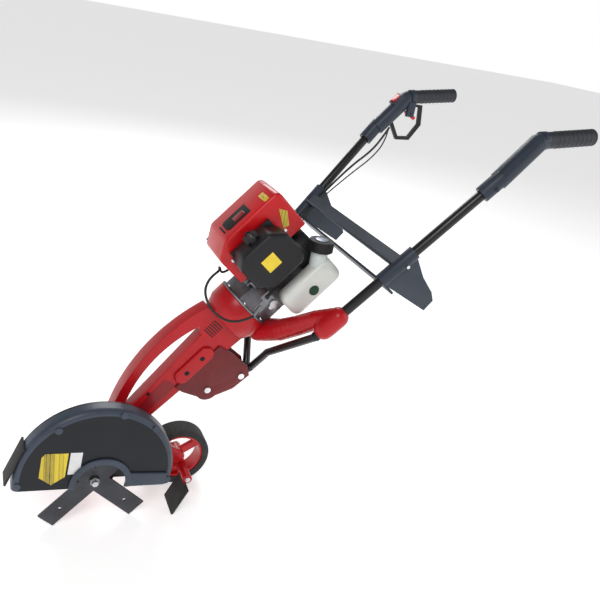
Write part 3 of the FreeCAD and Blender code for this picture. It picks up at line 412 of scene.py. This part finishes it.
def slab(name, frameName, outline, low, high, around="Y"):
    # a closed plate: an outline in a slanted frame, in millimetres, pulled along one axis
    bpy.ops.object.select_all(action="DESELECT")
    bpy.ops.mesh.primitive_circle_add(vertices=len(outline), radius=1, fill_type="NGON")
    piece = bpy.context.active_object
    piece.name = name
    for vertex, (across, up) in zip(piece.data.vertices, outline):
        vertex.co = Vector((across, low, up)) / 1000 if around == "Y" else Vector((low, across, up)) / 1000
    bpy.ops.object.mode_set(mode="EDIT")
    bpy.ops.mesh.select_all(action="SELECT")
    step = (0, (high - low) / 1000, 0) if around == "Y" else ((high - low) / 1000, 0, 0)
    bpy.ops.mesh.extrude_region_move(TRANSFORM_OT_translate={"value": step})
    bpy.ops.mesh.select_all(action="SELECT")
    bpy.ops.mesh.normals_make_consistent(inside=False)
    bpy.ops.object.mode_set(mode="OBJECT")
    piece.matrix_world = frameMatrix(frameName)
    return settle(piece)


def carve(piece, *tools):
    for tool in tools:
        onlySelect(piece)
        modifier = piece.modifiers.new("carve", "BOOLEAN")
        modifier.operation = "DIFFERENCE"
        modifier.solver = "EXACT"
        modifier.object = tool
        bpy.ops.object.modifier_apply(modifier=modifier.name)
        bpy.data.objects.remove(tool, do_unlink=True)
    return piece


def arc(radius, centreX, centreZ, first, last, count):
    steps = [math.radians(first + (last - first) * index / (count - 1)) for index in range(count)]
    return [(centreX + radius * math.cos(step), centreZ + radius * math.sin(step)) for step in steps]


def rounded(piece, width, segments=5, angle=40):
    modify(piece, "BEVEL", width=width, segments=segments, limit_method="ANGLE",
           angle_limit=math.radians(angle), use_clamp_overlap=True)
    return piece


# The blade guard: a deep half-round hood with a broad rounded rim and an arched band.
guardLook = {"radius": 152.0, "rise": 18.0, "floor": -8.0, "face": -117.0, "back": -88.0,
             "rim": 12.0, "wall": 2.5, "windowX": 9.0, "windowZ": 2.0, "window": 49.0,
             "band": 60.0, "screwSpots": ((-84, 127), (31, 159), (98, 128), (-143, 4), (66, 3), (143, 4)),
             "step": [(60, -7), (138, -7), (140, 22), (58, 26)],
             "shield": [(-107, 22), (-83, 4), (-60, 22), (-60, 76), (-101, 76), (-107, 68)],
             "panel": [(-56, 27), (-34, 27), (-34, 77), (-56, 77)]}


def hoodOutline(inset, floor):
    radius = guardLook["radius"] - inset
    return arc(radius, 0, guardLook["rise"], 0, 180, 49) + [(-radius, floor), (radius, floor)]


def addGuard():
    look = guardLook
    hood = slab("guardHood", "guard", hoodOutline(0, -60), look["back"], look["face"])
    onlySelect(hood)
    bpy.ops.object.mode_set(mode="EDIT")
    bpy.ops.mesh.select_mode(type="EDGE")
    bpy.ops.mesh.select_all(action="DESELECT")
    bpy.ops.object.mode_set(mode="OBJECT")
    inverse = frameMatrix("guard").inverted()
    front = [(inverse @ vertex.co).y * 1000 < look["face"] + 1 for vertex in hood.data.vertices]
    for edge in hood.data.edges:
        edge.select = all(front[index] for index in edge.vertices)
    bpy.ops.object.mode_set(mode="EDIT")
    bpy.ops.mesh.bevel(offset=look["rim"] / 1000, segments=6, profile=0.5, affect="EDGES")
    bpy.ops.object.mode_set(mode="OBJECT")
    below = slab("below", "guard", [(-220, -90), (220, -90), (220, look["floor"]), (-220, look["floor"])],
                 -140, -60)
    inside = slab("inside", "guard", hoodOutline(look["wall"] + 6, -70), look["face"] + 2.5, -60)
    window = slab("window", "guard", arc(look["window"], look["windowX"], look["windowZ"], 0, 352.5, 48),
                  -140, -100)
    carve(hood, below, inside, window)
    onlySelect(hood)
    smooth(hood, 30)
    finishAs(hood, "frame", "guard_dark", finishes["guard_dark"])
    hood.data.materials.append(trims["rim"])
    for face in hood.data.polygons:
        local = inverse @ face.center * 1000
        outside = math.hypot(local.x, local.z - look["rise"]) > look["radius"] - look["rim"] - 0.5
        if outside and local.y < look["back"] - 0.5:
            face.material_index = 1
    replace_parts(hood, "blade_guard")
    bandShape = (arc(look["band"], look["windowX"], look["windowZ"], 0, 180, 33)
                 + [(look["windowX"] - look["band"], look["floor"] + 1),
                    (look["windowX"] + look["band"], look["floor"] + 1)])
    band = slab("guardBand", "guard", bandShape, look["face"] + 1, look["face"] - 6)
    rounded(band, 0.0045, 5)
    hole = slab("bandHole", "guard",
                arc(look["window"] - 1, look["windowX"], look["windowZ"], 0, 352.5, 48), -140, -100)
    carve(band, hole)
    smooth(band, 30)
    finishAs(band, "frame", "guard_dark", trims["rim"])
    step = slab("guardStep", "guard", look["step"], look["face"] + 1, look["face"] - 5)
    finishAs(rounded(step, 0.004, 4), "frame", "guard_dark", trims["rim"])
    smooth(step, 30)
    for index, (across, up) in enumerate(look["screwSpots"]):
        washer = disc(f"guardWasher{index}", spot("guard", across, look["face"] - 1.2, up, "Y"),
                      0.0072, 0.0024, 32, 0.0007)
        finishAs(washer, "frame", "black_screws", trims["rim"])
    front, back = look["face"] - 0.5, look["face"] + 0.4
    shield = slab("warningShield", "guard", look["shield"], back, front)
    finishAs(shield, "frame", "guard_dark", trims["yellow"])
    panel = slab("rulesPanel", "guard", look["panel"], back, front)
    finishAs(panel, "frame", "guard_dark", trims["white"])


addGuard()
print("guard built")


# The engine's covers: softly rounded shells over the shroud, the air cleaner and the tank.
shroudLook = {"start": 476.0, "end": 650.0, "low": 60.0, "high": 162.0, "rounding": 0.017, "wall": 3.0}
cleanerLook = {"left": 494.0, "right": 606.0, "low": 47.0, "high": 143.0, "front": -116.0, "rounding": 0.018}


def addShroud(half):
    start, end, low, high = (shroudLook[key] for key in ("start", "end", "low", "high"))
    wall = shroudLook["wall"]
    outer = [(start, low), (end, low), (end, high - 8), (end - 8, high),
             (start + 36, high), (start, high - 26)]
    cover = rounded(slab("engineShroud", "chassis", outer, half, -half), shroudLook["rounding"], 6, 20)
    inner = [(start + wall, low - 40), (end - wall, low - 40), (end - wall, high - 11),
             (end - 11, high - wall), (start + 37, high - wall), (start + wall, high - 27)]
    core = rounded(slab("core", "chassis", inner, half - wall, -half + wall),
                   shroudLook["rounding"] - 0.003, 6, 20)
    floorCut = slab("floorCut", "chassis", [(start - 20, low - 60), (end + 20, low - 60), (end + 20, low + 9),
                                            (start - 20, low + 9)], 120, -120)
    slots = [slab(f"slot{index}", "chassis", arc(3.2, -24 + 12 * index, 96, 180, 360, 9)
                  + arc(3.2, -24 + 12 * index, 122, 0, 180, 9), start - 8, start + 8, "X")
             for index in range(5)]
    sideSlots = [slab(f"sideSlot{index}", "chassis", arc(3.4, 573 + 16 * index, 84, 180, 360, 9)
                      + arc(3.4, 573 + 16 * index, 118, 0, 180, 9), half - 8, half + 8) for index in range(4)]
    carve(cover, core, floorCut, *slots, *sideSlots)
    smooth(cover, 32)
    finishAs(cover, "frame", "red_plastic")
    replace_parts(cover, "top_shroud")
    inset = block("shroudInset", spot("chassis", 558, -10, high - 0.2), (0.056, 0.042, 0.0022), 0.0008)
    finishAs(inset, "frame", "red_plastic", trims["dark"])
    boss = block("shroudBoss", spot("chassis", 562, -14, high + 0.6), (0.026, 0.018, 0.003), 0.001)
    finishAs(boss, "frame", "red_plastic", trims["paleRed"])
    # the vents are dark strips on the shroud top: painted shade where the vent openings are
    for index, along in enumerate((516, 524)):
        vent = block(f"shroudVent{index}", spot("chassis", along + 4, -10, high - 0.1),
                     (0.004, 0.034, 0.0018), 0.0006)
        finishAs(vent, "frame", "red_plastic", trims["dark"])
    edgeLabel = block("shroudEdgeLabel", spot("chassis", 622, -26, high), (0.012, 0.036, 0.0012), 0.0004)
    finishAs(edgeLabel, "frame", "red_plastic", trims["yellow"])
    strip = slab("shroudLabel", "chassis", [(610, 96), (622, 92), (638, 118), (628, 134)],
                 -half - 0.5, -half + 1)
    finishAs(strip, "frame", "red_plastic", trims["yellow"])


def addCleaner():
    left, right, low, high = (cleanerLook[key] for key in ("left", "right", "low", "high"))
    outline = [(left, low + 26), (left + 26, low), (right - 12, low), (right, low + 12),
               (right, high - 26), (right - 26, high), (left + 18, high), (left, high - 18)]
    cover = rounded(slab("cleanerCover", "chassis", outline, -62, cleanerLook["front"]),
                    cleanerLook["rounding"], 6, 15)
    pocket = slab("pocket", "chassis", [(left + 30, low + 24), (right - 28, low + 24),
                                        (right - 28, high - 26), (left + 30, high - 26)], -100, -50)
    carve(cover, rounded(pocket, 0.003, 3))
    smooth(cover, 35)
    finishAs(cover, "frame", "black_plastic")
    knobX, knobZ = (left + right) / 2, high + 6.5
    for index, depth in enumerate((-99.5, -67.5)):
        shape = [(knobX - 6, high - 6), (knobX + 6, high - 6), (knobX + 6, knobZ + 2),
                 (knobX + 3, knobZ + 5), (knobX - 3, knobZ + 5), (knobX - 6, knobZ + 2)]
        lug = slab(f"latchLug{index}", "chassis", shape, depth - 1.5, depth + 1.5)
        finishAs(rounded(lug, 0.0008, 2), "frame", "black_plastic")
    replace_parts(cover, "air_cleaner_cover")
    plaque = slab("cleanerLabel", "chassis", [(532, 82), (562, 82), (562, 112), (532, 112)],
                  cleanerLook["front"] + 0.4, cleanerLook["front"] - 0.5)
    finishAs(plaque, "frame", "black_plastic", trims["yellow"])


def addTank():
    near = rounded(slab("tankBody", "chassis", [(509, -54), (638, -54), (638, 8), (509, 8)], -60, -102),
                   0.017, 6)
    smooth(near, 40)
    finishAs(near, "frame", "tank_white")
    under = rounded(slab("tankBelly", "chassis", [(509, -60), (577, -60), (577, -47), (509, -47)], 60, -70),
                    0.006, 4)
    smooth(under, 40)
    finishAs(under, "frame", "tank_white")
    neckPlace = Matrix.Translation(hubPoint(411, -79, 470))
    neck = disc("tankNeck", neckPlace, 0.017, 0.056, 48, 0.001)
    carve(neck, disc("neckBore", neckPlace @ Matrix.Translation((0, 0, 0.006)), 0.014, 0.056, 48, 0.0001))
    smooth(neck, 40)
    finishAs(neck, "frame", "tank_white")
    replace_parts(near, "fuel_tank")
    badge = slab("tankBadge", "chassis", arc(11, 572, -27, 0, 345, 24), -101.6, -102.6)
    finishAs(rounded(badge, 0.0006, 2), "frame", "tank_white", trims["green"])
    capTop = disc("capDisc", Matrix.Translation(hubPoint(411, -79, 506.8)), 0.013, 0.0018, 48, 0.0005)
    finishAs(capTop, "filler_cap", "black_plastic", trims["silver"])
    for index in range(28):
        angle = 2 * math.pi * index / 28
        radius = capLook["radius"]
        where = (Matrix.Translation(hubPoint(411, -79, 494)) @ Matrix.Rotation(angle, 4, "Z")
                 @ Matrix.Translation((radius, 0, 0)))
        rib = block(f"capRib{index}", where, (0.0022, 0.0022, 0.019), 0.0006)
        finishAs(rib, "filler_cap", "black_plastic")


capLook = {"radius": 0.0244}
addShroud(50)
addCleaner()
addTank()
print("engine covers built")


# The blade's washer and nut.
nutLook = {"washer": 0.017, "nut": 0.0104, "stud": 0.005}


def addBladeNut():
    washer = disc("bladeWasher", spot("hub", 0, -101.3, 0, "Y"), nutLook["washer"], 0.003, 48, 0.0006)
    nut = disc("bladeNut", spot("hub", 0, -107, 0, "Y"), nutLook["nut"], 0.008, 6, 0.0007)
    stud = disc("bladeStud", spot("hub", 0, -114, 0, "Y"), nutLook["stud"], 0.007, 32, 0.0008)
    flange = disc("bladeFlange", spot("hub", 0, -93.5, 0, "Y"), 0.0165, 0.0078, 48, 0.0006)
    for piece, look in ((washer, finishes["steel_dark"]), (nut, trims["darkSteel"]),
                        (stud, trims["darkSteel"]), (flange, finishes["steel_dark"])):
        finishAs(piece, "blade_assembly", "steel_bright", look)
    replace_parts(washer, "blade_clamp")


addBladeNut()


# The chassis: a beam with an arched bar over it, in two halves, with its bulge, slots and screws.
chassisLook = {"front": 94.0, "back": 392.0, "half": 20.0, "outerArch": 391.0, "innerArch": 288.0,
               "rounding": 0.0085, "screws": ((122, -4), (176, 8), (232, -28), (340, -30)),
               "louvres": 6}


def arcBetween(first, last, radius, count):
    # points along an arc that bulges upwards between two points
    middle = ((first[0] + last[0]) / 2, (first[1] + last[1]) / 2)
    half = math.dist(first, last) / 2
    drop = math.sqrt(radius * radius - half * half)
    along = ((last[0] - first[0]) / (2 * half), (last[1] - first[1]) / (2 * half))
    side = (-along[1], along[0]) if along[0] < 0 else (along[1], -along[0])
    if side[1] > 0:
        side = (-side[0], -side[1])
    centre = (middle[0] + side[0] * drop, middle[1] + side[1] * drop)
    start = math.atan2(first[1] - centre[1], first[0] - centre[0])
    end = math.atan2(last[1] - centre[1], last[0] - centre[0])
    turns = [start + (end - start) * index / (count - 1) for index in range(count)]
    return [(centre[0] + radius * math.cos(turn), centre[1] + radius * math.sin(turn)) for turn in turns]


def addChassis():
    look = chassisLook
    front, back, half = look["front"], look["back"], look["half"]
    outline = [(front, -33), (213, -39.5), (300, -44), (back, -50)]
    outline += arcBetween((back, 62.5), (104.6, 41.3), look["outerArch"], 25) + [(front, 38)]
    window = [(122, 11), (342, 25)] + arcBetween((350, 43), (128, 27), look["innerArch"], 21)
    for name, near, far, node in (("chassisLeft", 0, -half, "chassis_left_shell"),
                                  ("chassisRight", half, 0, "chassis_right_shell")):
        shell = slab(name, "chassis", outline, near, far)
        carve(shell, slab("archWindow", "chassis", window, 60, -60))
        inverse = frameMatrix("chassis").inverted()
        outside = -half if near == 0 else half
        outer = [abs((inverse @ vertex.co).y * 1000 - outside) < 0.5 for vertex in shell.data.vertices]
        onlySelect(shell)
        bpy.ops.object.mode_set(mode="EDIT")
        bpy.ops.mesh.select_mode(type="EDGE")
        bpy.ops.mesh.select_all(action="DESELECT")
        bpy.ops.object.mode_set(mode="OBJECT")
        for edge in shell.data.edges:
            edge.select = all(outer[index] for index in edge.vertices)
        bpy.ops.object.mode_set(mode="EDIT")
        bpy.ops.mesh.bevel(offset=look["rounding"], segments=5, profile=0.5, affect="EDGES",
                           clamp_overlap=True)
        bpy.ops.object.mode_set(mode="OBJECT")
        smooth(shell, 30)
        finishAs(shell, "frame", "red_paint")
        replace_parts(shell, node)
    for side in (-1, 1):
        face = side * half
        bulge = slab(f"chassisBulge{side + 1}", "chassis",
                     arc(17, 250, -16, 90, 270, 17) + arc(17, 318, -16, -90, 90, 17),
                     face + side * 6, face - side * 1)
        smooth(rounded(bulge, 0.0055, 5), 35)
        finishAs(bulge, "frame", "red_paint")
        # the holes are dark discs on the bulge: painted shade inside the bulge's holes
        for index, across in enumerate((262, 306)):
            hole = disc(f"bulgeHole{side + 1}{index}", spot("chassis", across, face + side * 6.1, -16, "Y"),
                        0.0052, 0.0012, 32, 0.0003)
            finishAs(hole, "frame", "red_paint", trims["dark"])
        # the side panel is a darker red sheet on the face: painted shade of a recessed panel
        panel = slab(f"chassisPanel{side + 1}", "chassis", [(128, -22), (226, -25), (222, 6), (130, 1)],
                     face + side * 0.6, face - side * 0.6)
        finishAs(rounded(panel, 0.0005, 2), "frame", "red_paint", trims["paleRed"])
        # the louvres are dark strips on the face: painted shade of the louvre slots
        for index in range(look["louvres"]):
            along = 352 + 5.5 * index
            shape = [(along, 2), (along + 2.4, 2), (along + 2.4, 30), (along, 30)]
            slot = slab(f"louvre{side + 1}{index}", "chassis", shape, face + side * 0.5, face - side * 0.5)
            finishAs(slot, "frame", "red_paint", trims["dark"])
        for index, (across, up) in enumerate(look["screws"]):
            head = disc(f"chassisScrew{side + 1}{index}", spot("chassis", across, face + side * 0.6, up, "Y"),
                        0.0036, 0.0018, 32, 0.0005)
            finishAs(head, "frame", "black_screws", finishes["black_screws"])
    nose = block("noseBump", spot("chassis", 92, 0, 32), (0.034, 0.036, 0.022), 0.009)
    finishAs(nose, "frame", "red_paint", trims["paleRed"])


addChassis()
print("chassis built")


# Wheel and grip details.
wheelLook = {"x": 193.0, "z": 69.0, "y": -2.0, "lugs": 40}
gripLook = {"startX": 752.0, "startZ": 768.5, "slope": 8.3, "radius": 15.5, "side": 228.0, "rings": 9}


def addWheelDetails():
    centre = hubPoint(wheelLook["x"], wheelLook["y"], 0)
    centre.z = wheelLook["z"] / 1000
    lugs = []
    for index in range(wheelLook["lugs"]):
        turn = Matrix.Translation(centre) @ Matrix.Rotation(2 * math.pi * index / wheelLook["lugs"], 4, "Y")
        lugs.append(block(f"lug{index}", turn @ Matrix.Translation((0, 0, 0.0683)),
                          (0.0052, 0.037, 0.0016), 0.0005))
    tread = joined("tyreTread", lugs)
    settle(tread)
    finishAs(tread, "wheel", "black_rubber")


def addGripRings():
    slope = math.radians(gripLook["slope"])
    for side, body in ((-1, "left_handgrip"), (1, "frame")):
        for index in range(gripLook["rings"]):
            along = 24 + 11 * index
            centre = hubPoint(gripLook["startX"] + along * math.cos(slope), side * gripLook["side"],
                              gripLook["startZ"] + along * math.sin(slope))
            where = (Matrix.Translation(centre) @ Matrix.Rotation(math.radians(90) - slope, 4, "Y"))
            ring = disc(f"gripRing{side + 1}{index}", where, 0.0163, 0.006, 40, 0.0016)
            finishAs(ring, body, "slate_rubber")


addWheelDetails()
addGripRings()
print("wheel and grips built")


# The two shoulders: thick swept arms, each ending in a hooked collar over its handle tube.
shoulderLook = {"stations": ((338, 16, 278, 26), (348, 40, 289, 25), (360, 74, 306, 23), (376, 112, 334, 21),
                             (394, 148, 364, 20)),
                "collar": ((46, 20.5), (34, 20.5), (20, 20.5), (6, 19.5)), "voxel": 2.4,
                "tubeFoot": (392.0, 178.0, 352.0), "splay": 7.1, "tubeRadius": 10.0}


def tubePoint(side, along):
    look = shoulderLook
    slope, splay = math.radians(machine["handleSlope"]), math.radians(look["splay"])
    reach = along * math.cos(splay)
    footX, footY, footZ = look["tubeFoot"]
    return (footX + reach * math.cos(slope), side * (footY + along * math.sin(splay)),
            footZ + reach * math.sin(slope))


def addShoulder(side):
    look = shoulderLook
    stations = [((x, side * y, z), radius) for x, y, z, radius in look["stations"]]
    stations += [(tubePoint(side, along), radius) for along, radius in look["collar"]]
    balls = []
    for (first, one), (second, two) in zip(stations, stations[1:]):
        for step in range(4):
            share = step / 4
            centre = hubPoint(*[a + (b - a) * share for a, b in zip(first, second)])
            bpy.ops.mesh.primitive_uv_sphere_add(segments=28, ring_count=16, location=centre,
                                                 radius=(one + (two - one) * share) / 1000)
            balls.append(bpy.context.active_object)
    arm = joined(f"shoulderArm{side + 1}", balls)
    settle(arm)
    modify(arm, "REMESH", mode="VOXEL", voxel_size=look["voxel"] / 1000)
    modify(arm, "SMOOTH", factor=0.5, iterations=6)
    low, high = hubPoint(*tubePoint(side, -30)), hubPoint(*tubePoint(side, 90))
    aim = (high - low).to_track_quat("Z", "Y").to_matrix().to_4x4()
    bore = disc("tubeBore", Matrix.Translation((low + high) / 2) @ aim,
                (look["tubeRadius"] + 0.05) / 1000, 0.16, 48, 0.0001)
    tank = slab("tankRoom", "chassis", [(507, -68), (657, -68), (657, 12), (507, 12)], -104, 104)
    beam = slab("beamRoom", "chassis", [(300, -120), (392, -120), (392, 40), (300, 40)], -20, 20)
    bell = slab("bellRoom", "chassis", arc(62, 0, 0, 0, 352.5, 48), 388, 450, "X")
    carve(arm, bore, tank, beam, bell)
    smooth(arm, 40)
    finishAs(arm, "frame", "red_paint")
    return arm


arms = [addShoulder(-1), addShoulder(1)]
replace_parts(joined("shoulderArms", arms), "shoulders")
print("shoulders built")


cableLook = {"throttleRadius": 0.0025, "stopRadius": 0.0016}
throttleRoute = ((699, 222, 691), (684, 214, 672), (655, 207, 634), (600, 200, 592),
                 (518, 186, 507), (484, 172, 466), (440, 130, 480), (409, 62, 520),
                 (272, 62, 366), (242, 26, 404), (227, -36, 424), (198, -52, 410),
                 (188, -64, 385), (205, -80, 350), (250, -94, 330), (285.3, -95, 349.4))
stopRoute = ((703, 230, 690), (688, 208, 660), (655, 198, 620), (600, 190, 578), (518, 178, 507),
             (484, 162, 464), (440, 118, 470), (400, 52, 510), (378, 40, 540))


def addCable(name, route, radius, node):
    curve = bpy.data.curves.new(name, "CURVE")
    curve.dimensions = "3D"
    spline = curve.splines.new("NURBS")
    spline.points.add(len(route) - 1)
    for point, corner in zip(spline.points, route):
        point.co = (*hubPoint(*corner), 1.0)
    spline.order_u = 3
    spline.use_endpoint_u = True
    spline.resolution_u = 12
    bare = bpy.data.objects.new(name + "Line", curve)
    bpy.context.scene.collection.objects.link(bare)
    line = bpy.data.meshes.new_from_object(bare)
    bpy.data.meshes.remove(line)
    curve.bevel_depth = radius
    curve.bevel_resolution = 4
    curve.use_fill_caps = True
    curve.materials.append(finishes["black_rubber"])
    bare.name = name
    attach(bare, "frame")
    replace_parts(bare, node)
    hubPoint(*route[0])


addCable("throttleCable", throttleRoute, cableLook["throttleRadius"], "throttle_cable")
addCable("stopWire", stopRoute, cableLook["stopRadius"], "stop_wire")
print("cables laid")


studio = {"floorSize": 60.0, "key": (-1.9, -2.6, 3.4), "fill": (2.8, -2.0, 2.2), "rim": (0.6, 2.8, 2.6)}


def addStudio():
    bpy.ops.object.select_all(action="DESELECT")
    bpy.ops.mesh.primitive_plane_add(size=studio["floorSize"], location=(0, 0, -0.0005))
    floor = bpy.context.active_object
    floor.name = "studioFloor"
    paint = Finish("paleFloor")
    shadeOfFloor = paint.mix(paint.ramp(paint.noise(3.0), 0.3, 0.7), (0.93, 0.93, 0.93, 1.0),
                             (0.95, 0.95, 0.95, 1.0))
    floor.data.materials.append(paint.surface(Base_Color=shadeOfFloor, Roughness=0.9,
                                            Emission_Color=(1.0, 1.0, 1.0, 1.0), Emission_Strength=0.48))
    for name, place, size, power in (("key", studio["key"], 1.8, 62), ("fill", studio["fill"], 2.4, 26),
                                     ("rim", studio["rim"], 1.6, 48)):
        light = bpy.data.lights.new(name + "Light", "AREA")
        light.size = size
        light.energy = power
        thing = bpy.data.objects.new(name + "Light", light)
        bpy.context.scene.collection.objects.link(thing)
        aim = Vector((0.0, 0.0, 0.4)) - Vector(place)
        turn = aim.to_track_quat("-Z", "Y").to_matrix().to_4x4()
        thing.matrix_world = Matrix.Translation(Vector(place)) @ turn
    world = bpy.data.worlds.new("paleRoom")
    world.use_nodes = True
    room = world.node_tree.nodes
    direction = room.new("ShaderNodeTexCoord")
    height = room.new("ShaderNodeSeparateXYZ")
    glow = room.new("ShaderNodeMapRange")
    glow.inputs["From Min"].default_value = 0.08
    glow.inputs["From Max"].default_value = 0.45
    glow.inputs["To Min"].default_value = 1.0
    glow.inputs["To Max"].default_value = 0.22
    world.node_tree.links.new(direction.outputs["Generated"], height.inputs[0])
    world.node_tree.links.new(height.outputs["Z"], glow.inputs["Value"])
    world.node_tree.links.new(glow.outputs[0], room["Background"].inputs["Strength"])
    room["Background"].inputs["Color"].default_value = (1.0, 1.0, 1.0, 1.0)
    bpy.context.scene.world = world
    bpy.context.scene.view_settings.view_transform = "Standard"


addStudio()
